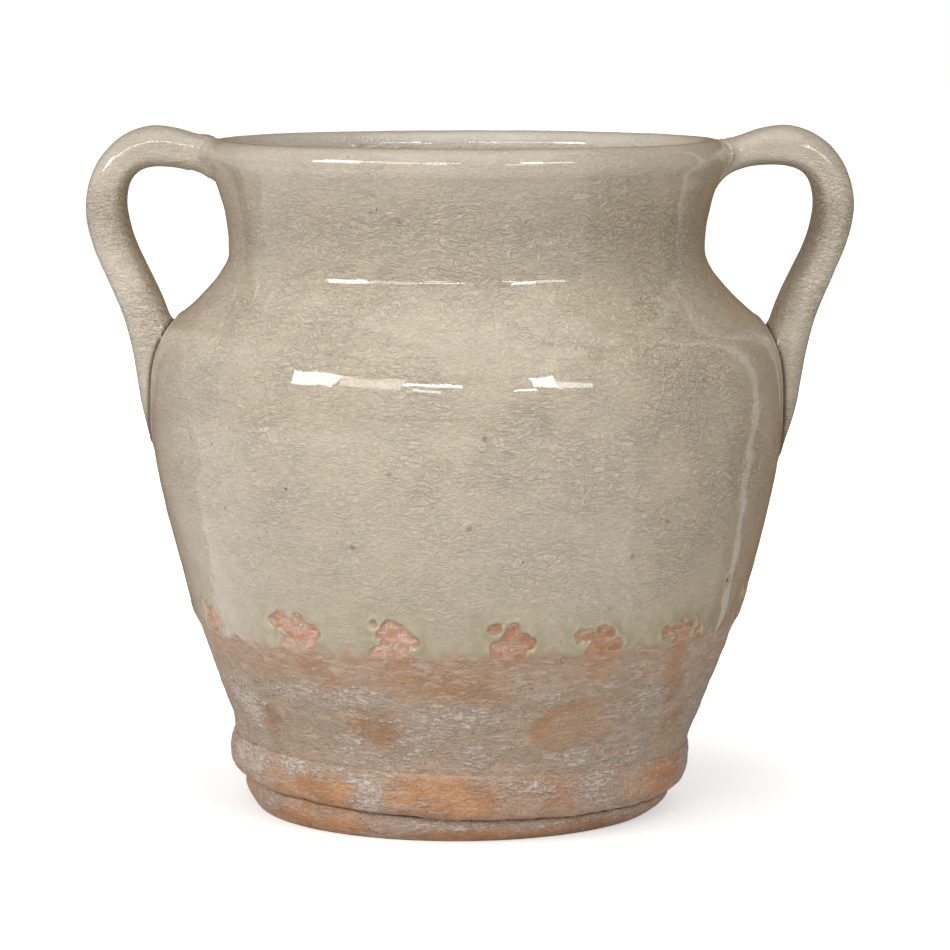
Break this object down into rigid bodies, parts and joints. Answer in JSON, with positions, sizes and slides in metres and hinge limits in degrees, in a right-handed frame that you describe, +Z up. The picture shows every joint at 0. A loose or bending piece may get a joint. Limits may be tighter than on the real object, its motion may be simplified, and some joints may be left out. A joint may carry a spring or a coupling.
{
  "type": "urn vase",
  "caption": "Wide-mouthed ceramic urn vase with a ring foot, coiled heel, rolled lip, pulled side handles and a crackled glaze that stops in notched lobes above bare clay.",
  "frame": {"origin": "on the surface it stands on, under the middle of its footprint", "axes": "+Z up, +X from the left handle to the right handle, the pictured front faces -Y"},
  "size_m": [0.3058, 0.2524, 0.2721],
  "materials": {
    "glaze": "glossy crackled grey-green glaze",
    "bare_clay": "matt fired terracotta",
    "chalky_clay": "matt terracotta with a chalky bloom"
  },
  "bodies": {
    "root": {"foot_ring": "chalky_clay", "base_slab": "bare_clay", "heel_coil": "chalky_clay", "body_wall": "bare_clay", "neck_collar": "bare_clay", "handle_right": "glaze", "handle_left": "glaze", "glaze_coat": "glaze"}
  },
  "joints": []
}
